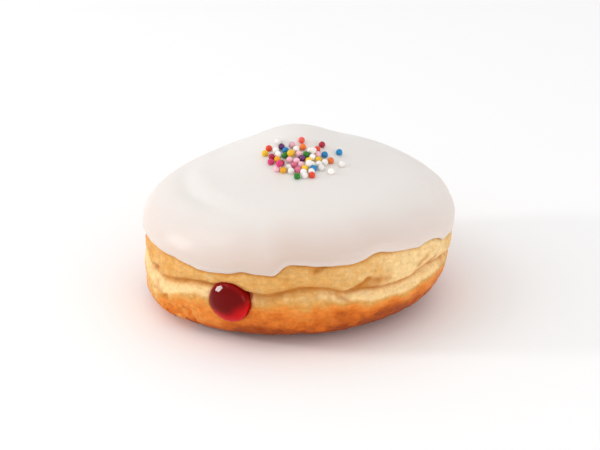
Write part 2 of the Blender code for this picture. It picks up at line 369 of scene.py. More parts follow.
def add_node(
    tree: Tree, kind: str, inputs: dict | tuple = (), out: str | int = 0, **settings: object
) -> Socket:
    """Add a shader node, set it up and link what feeds it.

    Args:
        tree: node tree that the node goes into.
        kind: the node's type without its ShaderNode prefix.
        inputs: what its inputs are set to or fed by.
        out: name or number of the output that is wanted.
        settings: the node's own properties.

    Returns:
        That output of the new node.
    """
    node = tree.nodes.new("ShaderNode" + kind)
    for name, value in settings.items():
        setattr(node, name, value)
    feed(node, inputs)
    return node.outputs[out]


# A Mix node that mixes colours takes its factor at input 0 and the colours at 6 and 7.
COLOURS = {"out": 2, "data_type": "RGBA"}


def new_material(name: str) -> tuple[Material, Tree, Node]:
    """Make a material.

    Args:
        name: what the real one is.

    Returns:
        The material, its tree and its Principled shader.
    """
    material = bpy.data.materials.new(name)
    material.use_nodes = True
    return material, material.node_tree, material.node_tree.nodes["Principled BSDF"]


@dataclass(frozen=True)
class CrustFinish:
    """Fried yeast dough: a thin dry crust, browned where it lay in the hot fat.

    To the eye it is matt with a faint fat sheen, pale and bread-like at the seam and golden
    to orange-brown below it. It is mottled, with fine pores.
    """

    shades: tuple[tuple[float, str], ...] = (
        (0.0, "#F3CF94"), (0.18, "#E1AF6A"), (0.36, "#DA9C4E"),
        (0.6, "#E88C38"), (0.82, "#D26C1C"), (1.0, "#A0460F"),
    )
    # The seam's own golden brown, also used for painted shade in its groove, in the creases and below
    # the icing's edge.
    seam_and_shade_colour: str = "#BA6C0A"
    stain_colour: str = "#A8281B"
    mottle_mm: float = 2.6
    streak_mm: float = 2.6
    grain_mm: float = 0.9
    pore_mm: float = 1.3
    bump_mm: float = 0.35
    roughness: float = 0.56

    def material(self) -> Material:
        """Shade by the mesh's fried, seam and stain values, broken up by mottling and crumb.

        The fried value holds a painted shadow in a thin line below the icing's edge. The seam value
        is partly the seam's own colour and partly painted shade in its groove and the creases, with
        a painted shadow below the icing's edge.

        The crumb is a fine grain plus streaks that are longer than they are high, with pores.

        Returns:
            The material.
        """
        material, tree, shader = new_material("fried dough crust")
        place = add_node(tree, "TexCoord", out="Object")
        fried, seam, stain = (
            add_node(tree, "Attribute", out="Fac", attribute_name=name)
            for name in ("fried", "seam", "stain")
        )
        mottling = {"Scale": 1 / (self.mottle_mm * MM), "Detail": 4.0, "Roughness": 0.6}
        mottle = add_node(tree, "TexNoise", {"Vector": place, **mottling})
        shift = add_node(tree, "MapRange", (mottle, 0.28, 0.72, -0.09, 0.09))
        browned = add_node(tree, "Math", (fried, shift), operation="ADD")
        tone = add_node(tree, "ValToRGB", (browned,))
        stops = tone.node.color_ramp.elements
        while len(stops) < len(self.shades):
            stops.new(1.0)
        for stop, (position, colour) in zip(stops, self.shades, strict=True):
            stop.position = position
            stop.color = linear(colour)
        graining = {"Scale": 1 / (self.grain_mm * MM), "Detail": 3.0}
        grain = add_node(tree, "TexNoise", {"Vector": place, **graining})
        flat = add_node(tree, "Mapping", {"Vector": place, "Scale": (1.0, 1.0, 2.8)})
        streaking = {"Scale": 1 / (self.streak_mm * MM), "Detail": 4.0}
        streak = add_node(tree, "TexNoise", {"Vector": flat, **streaking})
        crumb = add_node(tree, "Math", (grain, streak), operation="ADD")
        light = add_node(tree, "MapRange", (crumb, 0.72, 1.28, 0.88, 1.12))
        shaded = {0: 1.0, 6: tone, 7: light}
        grained = add_node(tree, "Mix", shaded, **COLOURS, blend_type="MULTIPLY")
        pore = add_node(tree, "TexVoronoi", {"Vector": place, "Scale": 1 / (self.pore_mm * MM)})
        pitted = add_node(tree, "MapRange", (pore, 0.0, 0.26, 0.5, 0.0))
        # Seam colour: partly the seam's own, partly painted shade in the groove and creases and a
        # painted shadow below the icing.
        share = add_node(tree, "Math", (seam, 0.9), operation="MULTIPLY")
        in_seam_and_shade = add_node(tree, "Mix", {0: share, 6: grained, 7: linear(self.seam_and_shade_colour)}, **COLOURS)
        stained = add_node(tree, "Mix", {0: stain, 6: in_seam_and_shade, 7: linear(self.stain_colour)}, **COLOURS)
        rise = add_node(tree, "Math", (crumb, pitted), operation="SUBTRACT")
        bumps = {"Height": rise, "Strength": 0.55, "Distance": self.bump_mm * MM}
        looks = {
            "Base Color": stained,
            "Normal": add_node(tree, "Bump", bumps),
            "Roughness": self.roughness,
            "IOR": 1.45,
            "Specular IOR Level": 0.18,
            "Subsurface Weight": 0.12,
            "Subsurface Radius": (1.4, 0.6, 0.2),
            "Subsurface Scale": MM,
        }
        feed(shader, looks)
        return material


@dataclass(frozen=True)
class IcingFinish:
    """White water icing, poured on warm and left to set.

    To the eye it is milky and slightly see-through, smooth with a soft sheen, and it warms
    towards its lower edge, where it is thin and the dough shows through. Its lower front is
    also greyer, which is painted shade carried by the same thin value.
    """

    body_colour: str = "#E8E2DD"
    # Warm grey: the dough showing through thin icing, and painted shade on its lower front.
    thin_and_painted_light_colour: str = "#D2B7A8"
    ripple_mm: float = 7.0
    bump_mm: float = 0.4
    roughest: float = 0.40
    smoothest: float = 0.28

    def material(self) -> Material:
        """Shade from the body colour to the thin colour by the mesh's thin value, which also holds
        painted shade on the lower front.

        Returns:
            The material.
        """
        material, tree, shader = new_material("set white icing")
        place = add_node(tree, "TexCoord", out="Object")
        thin = add_node(tree, "Attribute", out="Fac", attribute_name="thin")
        # Thin value: the dough showing through, and painted shade on the lower front.
        mixed = {0: thin, 6: linear(self.body_colour), 7: linear(self.thin_and_painted_light_colour)}
        rippling = {"Scale": 1 / (self.ripple_mm * MM), "Detail": 2.0}
        ripple = add_node(tree, "TexNoise", {"Vector": place, **rippling})
        bumps = {"Height": ripple, "Strength": 0.12, "Distance": self.bump_mm * MM}
        looks = {
            "Base Color": add_node(tree, "Mix", mixed, **COLOURS),
            "Normal": add_node(tree, "Bump", bumps),
            "Roughness": add_node(tree, "MapRange", (ripple, 0.3, 0.7, self.smoothest, self.roughest)),
            "IOR": 1.47,
            "Specular IOR Level": 0.4,
            "Subsurface Weight": 0.35,
            "Subsurface Radius": (1.8, 1.3, 1.0),
            "Subsurface Scale": MM,
        }
        feed(shader, looks)
        return material


class Dye(Enum):
    """Food colours of the sugar pearls, as sRGB hex."""

    WHITE = "#FBF7F2"
    PINK = "#F4BECB"
    ROSE = "#E0708E"
    MAGENTA = "#D4326E"
    CRIMSON = "#B31C3C"
    CORAL = "#EE5A4C"
    RED = "#DF3F1C"
    ORANGE = "#EE7427"
    YELLOW = "#F8C51C"
    AMBER = "#F0A90F"
    GREEN = "#1C7C17"
    BLUE = "#0A86C2"
    PURPLE = "#6A2A6E"


@dataclass(frozen=True)
class PearlFinish:
    """Sugar pearl: a grain of sugar tumbled in syrup and food colour, then waxed.

    To the eye it is an opaque ball of strong colour with a small soft highlight.
    """

    dye: Dye
    darkest: float = 0.86
    lightest: float = 1.1
    roughness: float = 0.16

    def material(self) -> Material:
        """Shade each pearl a little lighter or darker by the mesh's tint value.

        Returns:
            The material.
        """
        material, tree, shader = new_material(f"{self.dye.name.lower()} sugar pearl")
        tint = add_node(tree, "Attribute", out="Fac", attribute_name="tint")
        light = add_node(tree, "MapRange", (tint, -1.0, 1.0, self.darkest, self.lightest))
        shaded = {0: 1.0, 6: linear(self.dye.value), 7: light}
        looks = {
            "Base Color": add_node(tree, "Mix", shaded, **COLOURS, blend_type="MULTIPLY"),
            "Roughness": self.roughness,
            "IOR": 1.5,
            "Specular IOR Level": 0.32,
            "Subsurface Weight": 0.06,
            "Subsurface Radius": (0.5, 0.4, 0.4),
            "Subsurface Scale": MM,
            "Coat Weight": 0.25,
            "Coat Roughness": 0.08,
        }
        feed(shader, looks)
        return material


@dataclass(frozen=True)
class JamFinish:
    """Strained red fruit jam, set with pectin: clear, wet and dark where it is deep.

    To the eye it is a dark red lens with a sharp highlight and a brighter red rim, which is
    partly where it is thin and partly a painted glow of the light passed through it.
    """

    deep_colour: str = "#6C0201"
    # Bright red where the jam is thin, and for its painted glow of light passed through.
    thin_and_painted_light_colour: str = "#CE0E12"
    roughness: float = 0.06

    def material(self) -> Material:
        """Shade from the deep colour to the thin colour by the mesh's thin value, which holds the
        thin rim and a painted glow of light passed through, towards the lower right rim.

        Returns:
            The material.
        """
        material, tree, shader = new_material("red fruit jam")
        # Thin value: where the jam is thin, and a painted glow of passed light towards the lower right
        # rim.
        thin = add_node(tree, "Attribute", out="Fac", attribute_name="thin")
        mixed = {0: thin, 6: linear(self.deep_colour), 7: linear(self.thin_and_painted_light_colour)}
        looks = {
            "Base Color": add_node(tree, "Mix", mixed, **COLOURS),
            "Roughness": self.roughness,
            "IOR": 1.42,
            "Specular IOR Level": 0.15,
            "Subsurface Weight": 0.15,
            "Subsurface Radius": (1.5, 0.1, 0.1),
            "Subsurface Scale": MM,
        }
        feed(shader, looks)
        return material


@dataclass(frozen=True)
class FloorFinish:
    """Matt white painted board, which gives the eye a pale even ground."""

    colour: str = "#FBFBFB"

    def material(self) -> Material:
        """A plain matt white."""
        material, _, shader = new_material("matt white board")
        feed(shader, {"Base Color": linear(self.colour), "Roughness": 0.9})
        return material


def closed_skins(name: str, rings: Array, poles: Array) -> Piece:
    """Mesh of one or more closed skins, from millimetres to metres.

    A skin is a stack of rings with a point at each end. Quads join ring to ring, and triangles
    join the end rings to the points.

    Args:
        name: name of the object.
        rings: array of skins, where there are several, rings, points in a ring and coordinates,
            from the first end to the last, each ring counter-clockwise seen from the first.
        poles: the first and the last point of each skin.

    Returns:
        The object, smooth shaded, at the origin.
    """
    rows, columns = rings.shape[-3:-1]
    each = rows * columns + 2
    points = np.concatenate([rings.reshape(-1, each - 2, 3), poles.reshape(-1, 2, 3)], 1)
    ring = np.arange(columns)
    after = (ring + 1) % columns
    near = np.arange(rows - 1)[:, None] * columns
    far = near + columns
    quads = np.stack([near + ring, far + ring, far + after, near + after], -1).reshape(-1, 4)
    start = np.stack([np.full(columns, each - 2), ring, after], -1)
    last = (rows - 1) * columns
    end = np.stack([np.full(columns, each - 1), last + after, last + ring], -1)
    faces = []
    for first in range(0, len(points) * each, each):
        faces += (quads + first).tolist() + (start + first).tolist() + (end + first).tolist()
    mesh = bpy.data.meshes.new(name)
    mesh.from_pydata(points.reshape(-1, 3) * MM, [], faces)
    mesh.shade_smooth()
    made = bpy.data.objects.new(name, mesh)
    bpy.context.scene.collection.objects.link(made)
    return made


def points_of(made: Piece) -> Array:
    """Read the mesh's points.

    Args:
        made: the object.

    Returns:
        Points in millimetres.
    """
    points = np.empty(len(made.data.vertices) * 3)
    made.data.vertices.foreach_get("co", points)
    return points.reshape(-1, 3) / MM


def set_values(made: Piece, name: str, values: Array) -> None:
    """Store one number for each point of the mesh under this name."""
    attribute = made.data.attributes.new(name, "FLOAT", "POINT")
    attribute.data.foreach_set("value", values.astype(np.float32).ravel())


def dress(made: Piece, material: Material) -> None:
    """Give the object this one material."""
    made.data.materials.clear()
    made.data.materials.append(material)


def stand_for(made: Piece, node: str) -> None:
    """Let a piece ride on the doughnut's one body and stand for one of its solids.

    Args:
        made: the piece.
        node: name of the solid.
    """
    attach(made, BODY)
    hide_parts(node)
    LOG.info("%s: %d faces", made.name, len(made.data.polygons))


@dataclass(frozen=True)
class Crease:
    """A short crease in the dough's side, straight between two places on it."""

    start: Place
    end: Place
    depth: float
    half_width: float = 0.6
    fade: float = 1.2

    def at(self, azimuth: Array, height: Array, reach: float) -> Array:
        """Share of the crease's depth here.

        The distance to the line is measured on the side unrolled flat, and the share is a
        bell across the line that fades out beyond its ends.

        Args:
            azimuth: azimuths of the places.
            height: heights of the places.
            reach: radius that turns an angle into a length round the side.

        Returns:
            Share from 0 to 1.
        """
        scale = np.array([np.radians(1) * reach, 1.0])
        line = np.subtract(self.end, self.start) * scale
        length = float(np.hypot(*line))
        turned = turned_from(azimuth, self.start[0])
        turned, up = np.broadcast_arrays(turned, height - self.start[1])
        across = np.stack([turned, up], -1) * scale
        along = across @ line / length
        beyond = np.maximum(np.maximum(-along, along - length), 0)
        aside = across @ np.array([-line[1], line[0]]) / length
        return bell(aside, self.half_width) * bell(beyond, self.fade)


@dataclass
class Jam:
    """The jam: a drop at the side, a funnel and a channel behind it, and the pocket inside."""

    form: BunForm
    azimuth: float = 244.3
    height: float = 13.8
    dip: float = 6.0
    radius: float = 5.7
    bulge: float = 2.6
    lip: float = 0.4
    funnel: float = 6.0
    channel_radius: float = 3.2
    pocket_centre: float = 42.0
    pocket_half_length: float = 16.0
    pocket_radius: float = 8.5
    rim_overlap: float = 0.1
    slack_turn: float = 113.7
    slack_out: float = 5.08
    slack_depth: float = 0.46
    slack_half_sizes: Place = (1.17, 2.53)
    columns: int = 96
    dome_points: int = 26
    funnel_points: int = 14
    pocket_points: int = 24
    # Way across the drop's face towards which the painted glow of passed light lies.
    painted_glow_side: Place = (0.3, -0.95)
    finish: JamFinish = field(default_factory=JamFinish)

    def axes(self) -> tuple[Array, Array]:
        """The jam's own axes, the outward one dipping from the side's level direction.

        Returns:
            Place of the mouth, and two cross axes and the outward axis as rows.
        """
        tilt = self.form.tilt_at_height(np.array(self.height))
        mouth = self.form.skin(np.array(self.azimuth), tilt)
        dip = np.radians(self.dip)
        outward = directions(self.azimuth) * np.cos(dip)
        outward[2] = -np.sin(dip)
        side = np.cross([0, 0, 1.0], outward)
        side /= np.linalg.norm(side)
        return mouth, np.stack([side, np.cross(outward, side), outward])

    def pocket_profile(self, grow: float) -> Array:
        """Funnel, channel and pocket as (radius, place along the axis).

        The funnel narrows by a quarter cosine, and the pocket is an ellipse that starts where
        it is as wide as the channel.

        Args:
            grow: how much fatter than the jam it is, for the hollow in the dough.

        Returns:
            Points from the mouth inwards, the last on the axis.
        """
        share = np.linspace(0, 1, self.funnel_points)
        narrowing = (self.radius - self.channel_radius) * np.cos(share * np.pi / 2)
        funnel = [self.channel_radius + narrowing + grow, -self.lip - self.funnel * share]
        joins = np.arcsin(self.channel_radius / self.pocket_radius)
        turn = joins + (np.pi - joins) * np.linspace(0, 1, self.pocket_points)
        reach = (self.pocket_radius + grow) * np.sin(turn)
        pocket = [reach, (self.pocket_half_length + grow) * np.cos(turn) - self.pocket_centre]
        pocket[0][-1] = 0
        return np.concatenate([funnel, pocket], 1).T

    def turned(self, name: str, profile: Array) -> Piece:
        """Turn a profile round the jam's axis.

        Args:
            name: name of the object.
            profile: radius and place along the axis, from the mouth inwards, with the first and
                the last point on the axis.

        Returns:
            The object.
        """
        mouth, axes = self.axes()
        rings = profile[1:-1, None, :1] * directions(azimuths_of(self.columns))
        rings[..., 2] = profile[1:-1, None, 1]
        ends = np.array([[0, 0, profile[0, 1]], [0, 0, profile[-1, 1]]])
        return closed_skins(name, rings @ axes + mouth, ends @ axes + mouth)

    def hollow(self, gap: float = 0.12, reach_out: float = 6.0) -> Piece:
        """The tool that cuts the jam's room out of the dough, open past the mouth."""
        mouth = np.array([[0, reach_out], [self.radius + gap, reach_out]])
        return self.turned("jam_hollow", np.concatenate([mouth, self.pocket_profile(gap)]))

    def build(self) -> None:
        """Make the jam. The drop is a flattened dome whose rim spreads a little on the dough.

        It hangs, so it is a little flatter near its top, by a bell that sinks its skin there.
        Its red is brighter round the whole rim, where it is thin, and brighter still towards its
        lower right rim, which is a painted glow of the light that passes through the drop.
        """
        turn = np.linspace(0, np.pi / 2, self.dome_points)
        dome = [(self.radius + self.rim_overlap) * np.sin(turn), self.bulge * np.cos(turn)]
        profile = np.concatenate([np.stack(dome, -1), self.pocket_profile(0)])
        made = self.turned("jam_filling", profile)
        mouth, axes = self.axes()
        local = (points_of(made) - mouth) @ axes.T
        from_axis = lengths(local[:, :2]) / self.radius
        turn = np.radians(self.slack_turn)
        out = local[:, 0] * np.cos(turn) + local[:, 1] * np.sin(turn) - self.slack_out
        across = local[:, 1] * np.cos(turn) - local[:, 0] * np.sin(turn)
        half_out, half_across = self.slack_half_sizes
        sunk = self.slack_depth * bell(out, half_out) * bell(across, half_across)
        local[:, 2] -= sunk * ramp(local[:, 2], -self.lip, 0)
        made.data.vertices.foreach_set("co", ((local @ axes + mouth) * MM).astype(np.float32).ravel())
        # Thin value: the whole rim, where the jam is thin, and a painted glow of light passed through
        # the drop, brightest towards its lower right rim.
        right, up = self.painted_glow_side
        towards = (right * local[:, 0] + up * local[:, 1]) / self.radius
        thin = 0.95 * ramp(from_axis, 0.15, 0.8) * ramp(towards, -0.1, 0.6)
        thin = thin + 0.2 * ramp(from_axis, 0.85, 1.02)
        set_values(made, "thin", np.clip(thin, 0, 1) * (local[:, 2] > -2))
        dress(made, self.finish.material())
        stand_for(made, "jam")


@dataclass
class Dough:
    """The fried dough, with its creases, lumps and flakes, and the room for the jam in it.

    Fields whose names end in browning or paleness are shares of the way from the palest crust
    to the darkest.
    """

    form: BunForm
    jam: Jam
    columns: int = 690
    base_rows: int = 16
    side_rows: int = 66
    upper_rows: int = 30
    hidden_rows: int = 20
    top_tilt: float = 88.5
    base_corner: float = -54.0
    bottom_tilt: float = -88.0
    creases: tuple[Crease, ...] = (
        Crease((289, 18.0), (295, 20.2), 0.5, 0.8), Crease((295, 20.2), (303, 19.1), 0.55, 0.9),
        Crease((292, 18.3), (299, 18.5), 0.35, 1.2), Crease((317, 18.4), (329, 19.6), 0.35),
        Crease((203, 14.7), (209, 16.2), 0.5, 0.7), Crease((207, 16.4), (209.5, 16.9), 0.4, 0.7),
        Crease((209, 11.5), (210.5, 10.9), 0.5, 0.8), Crease((214, 9.9), (216, 9.3), 0.4, 0.7),
        Crease((275, 23.9), (279, 25.4), 0.3, 0.8), Crease((284, 15.9), (287, 14.6), 0.25, 0.7),
        Crease((318, 20.2), (323, 21.4), 0.3, 0.7), Crease((40, 22.0), (52, 20.6), 0.4),
        Crease((120, 20.8), (136, 21.6), 0.4),
    )
    fold_depth: float = 0.4
    fold_half_width: float = 0.5
    smooth_below: float = 2.5
    lumps: Lumps = Lumps(3, 13.0, 0.35)
    small_lumps: Lumps = Lumps(4, 4.6, 0.14, 2)
    wrinkles: Lumps = Lumps(5, 5.0, 0.13, 2, 2.4)
    grain: Lumps = Lumps(6, 1.5, 0.075, 2, 1.5)
    pits: Lumps = Lumps(7, 1.9)
    pit_depth: float = 0.3
    flake_patch: Swell = Swell(219, 13, 6.5, 4.6)
    flakes: Lumps = Lumps(8, 2.6, octaves=3)
    flake_height: float = 1.5
    flake_lumps: Lumps = Lumps(9, 4.0, 0.45)
    band_top: float = 13.4
    band_waves: tuple[Wave, ...] = (Wave(200, 24, -6.6), Wave(332, 13, 2.2), Wave(90, 25, 1.4))
    patches: Lumps = Lumps(11, 6.0, octaves=3)
    least_browning: float = 0.24
    patch_browning: float = 0.1
    band_browning: float = 0.46
    base_browning: float = 0.4
    # Painted shadow in a thin line below the icing's lip, as a share of the way to the darkest crust.
    icing_lip_painted_shadow: float = 0.18
    left_browning: Wave = Wave(185, 8, 0.6)
    front_browning: Wave = Wave(303, 14, 0.17)
    lip_paleness: float = 0.34
    lip_less_pale: Wave = Wave(268, 18, 0.2)
    right_paleness: Wave = Wave(322, 26, 0.36)
    torn: Lumps = Lumps(10, 2.2, octaves=2)
    torn_paleness: float = 0.45
    seam_lumps: Lumps = Lumps(12, 9.0, 0.35)
    finish: CrustFinish = field(default_factory=CrustFinish)

    def tilts(self, azimuth: Array, icing_edge: Array) -> Array:
        """Tilts of the rows from the top down: under the icing, to the seam, side and base.

        Each stretch divides the way between two lines that run round the bun evenly.

        Args:
            azimuth: azimuths of the columns.
            icing_edge: tilts of the icing's edge at them.

        Returns:
            Tilts, rows by columns.
        """
        seam = self.form.tilt_at_height(self.form.seam_height(azimuth))
        lines = [np.full_like(azimuth, self.top_tilt), icing_edge, seam]
        lines += [np.full_like(azimuth, tilt) for tilt in (self.base_corner, self.bottom_tilt)]
        counts = (self.hidden_rows, self.upper_rows, self.side_rows, self.base_rows)
        stretches = [
            high + (low - high) * (np.arange(count) / count)[:, None]
            for high, low, count in zip(lines, lines[1:], counts, strict=False)
        ]
        return np.concatenate(stretches + [lines[-1][None]])

    def relief(self, azimuth: Array, points: Array) -> Array:
        """Fine relief of the crust: lumps, wrinkles, pits, creases and the flaky patch.

        Lumps, wrinkles and grain are noise of falling size, and pits are the peaks of another.
        Flakes are noise folded at zero, which leaves ridges.

        Args:
            azimuth: azimuths of the points.
            points: points on the plain form.

        Returns:
            Heights in millimetres.
        """
        height = points[..., 2]
        layers = (self.lumps, self.small_lumps, self.wrinkles, self.grain)
        rough = sum(layer.at(points) for layer in layers)
        pits = self.pit_depth * ramp(self.pits.at(points), 0.5, 0.85)
        ridges = self.flake_height * (1 - np.abs(self.flakes.at(points))) - self.flake_height / 2
        flakes = (ridges + self.flake_lumps.at(points)) * self.flake_patch.at(azimuth, height)
        reach = self.form.plan_radius
        cut = sum(crease.depth * crease.at(azimuth, height, reach) for crease in self.creases)
        above = height - self.form.seam_height(azimuth)
        cut = cut + self.fold_depth * bell(above, self.fold_half_width)
        return (rough - pits + flakes - cut) * ramp(height, 0.0, self.smooth_below)

    def build(self, icing_edge_height: Array) -> None:
        """Make the dough, cut the jam's room out of it and dress it.

        Args:
            icing_edge_height: heights of the icing's edge at the dough's columns.
        """
        azimuth = azimuths_of(self.columns)
        tilt = self.tilts(azimuth, self.form.tilt_at_height(icing_edge_height))
        points = self.form.skin(azimuth, tilt)
        points = points + self.form.normals(azimuth, tilt) * self.relief(azimuth, points)[..., None]
        points[..., 2] = np.maximum(points[..., 2], 0)
        made = closed_skins("fried_dough", points, points[[0, -1]].mean(1))
        self.cut(made, self.jam.hollow())
        self.shade(made, icing_edge_height)
        dress(made, self.finish.material())
        stand_for(made, "dough")

    def cut(self, made: Piece, tool: Piece) -> None:
        """Cut the tool's room out of the dough's mesh, and remove the tool.

        A point left by the cut where only two edges meet is taken out, as it would make slivers.

        Args:
            made: the dough.
            tool: the closed shape to cut out.
        """
        modifier = made.modifiers.new("jam room", "BOOLEAN")
        modifier.operation = "DIFFERENCE"
        modifier.solver = "MANIFOLD"
        modifier.object = tool
        bpy.context.view_layer.update()
        seen = made.evaluated_get(bpy.context.evaluated_depsgraph_get())
        mesh = bpy.data.meshes.new_from_object(seen)
        made.modifiers.clear()
        made.data = mesh
        bpy.data.objects.remove(tool)
        ends = np.empty(len(mesh.edges) * 2, dtype=np.int32)
        mesh.edges.foreach_get("vertices", ends)
        shell = bmesh.new()
        shell.from_mesh(mesh)
        shell.verts.ensure_lookup_table()
        spare = [shell.verts[int(number)] for number in np.flatnonzero(np.bincount(ends) == 2)]
        bmesh.ops.dissolve_verts(shell, verts=spare)
        shell.to_mesh(mesh)
        shell.free()

    def shade(self, made: Piece, icing_edge_height: Array) -> None:
        """Store each point's browning, seam colour and painted shade, and jam stain.

        Fried rises below the band's top line and again towards the base, at the left and in a deep
        place at the front, and in a thin line below the icing's edge, which is a painted shadow of
        the icing's lip. It falls at the lip just below the seam, where the dough never met the fat,
        at the right and on torn flakes. Seam is the seam's bells, partly the seam's own colour and
        partly painted shade in its groove, plus painted shade in the creases and a painted shadow
        below the icing's edge. Stain is a bell round the jam's rim, and the whole inside of its room.

        Args:
            made: the cut dough.
            icing_edge_height: heights of the icing's edge at the mesh's columns.
        """
        points = points_of(made)
        height = points[:, 2]
        azimuth = np.degrees(np.arctan2(points[:, 1], points[:, 0]))
        edge = np.interp(azimuth % 360, azimuths_of(self.columns), icing_edge_height, period=360)
        # Painted shadow of the icing's lip: a bell just below its edge.
        under = bell(np.minimum(height - edge - 0.2, 0), 0.7)
        above = height - self.form.seam_height(azimuth)
        patchy = self.patches.at(points)
        below = self.band_top + sum(wave.at(azimuth) for wave in self.band_waves) + 1.1 * patchy - height
        fried = self.band_browning * ramp(below, -2.8, 3.6) + self.base_browning * ramp(below, 2.0, 13.0)
        # The last term is the painted shadow below the icing's edge.
        fried = fried + self.least_browning + self.patch_browning * patchy + self.icing_lip_painted_shadow * under
        fried = fried + self.left_browning.at(azimuth) * ramp(height, 17.0, 22.0)
        fried = fried + self.front_browning.at(azimuth) * ramp(below, 1.0, 4.0)
        lip = (self.lip_paleness - self.lip_less_pale.at(azimuth)) * bell(above + 2.2, 1.4)
        pale = self.right_paleness.at(azimuth) * ramp(above, -4.5, -0.5)
        torn = self.flake_patch.at(azimuth, height) * ramp(self.torn.at(points), -0.1, 0.6)
        fried = fried - lip - pale - self.torn_paleness * torn
        # Seam's bells: partly the seam's own colour, partly painted shade in its groove.
        seam = 0.4 * bell(above - 0.6, 0.9) + 0.75 * bell(above + 0.05, 0.4)
        # Plus the painted shadow below the icing's edge.
        seam = seam * (0.8 + self.seam_lumps.at(points)) + 0.5 * under
        # Painted shade in the creases.
        for crease in self.creases:
            seam = seam + 0.6 * crease.at(azimuth, height, self.form.plan_radius)
        mouth, axes = self.jam.axes()
        local = (points - mouth) @ axes.T
        from_rim = lengths(local[:, :2]) - self.jam.radius
        inside = (from_rim < 0.3) & (local[:, 2] < 1.5)
        halo = 0.7 * bell(np.maximum(from_rim, 0), 0.5) * (local[:, 2] > -8)
        set_values(made, "fried", np.clip(fried, 0, 1))
        set_values(made, "seam", np.clip(seam, 0, 1))
        set_values(made, "stain", np.where(inside, 0.9, halo))


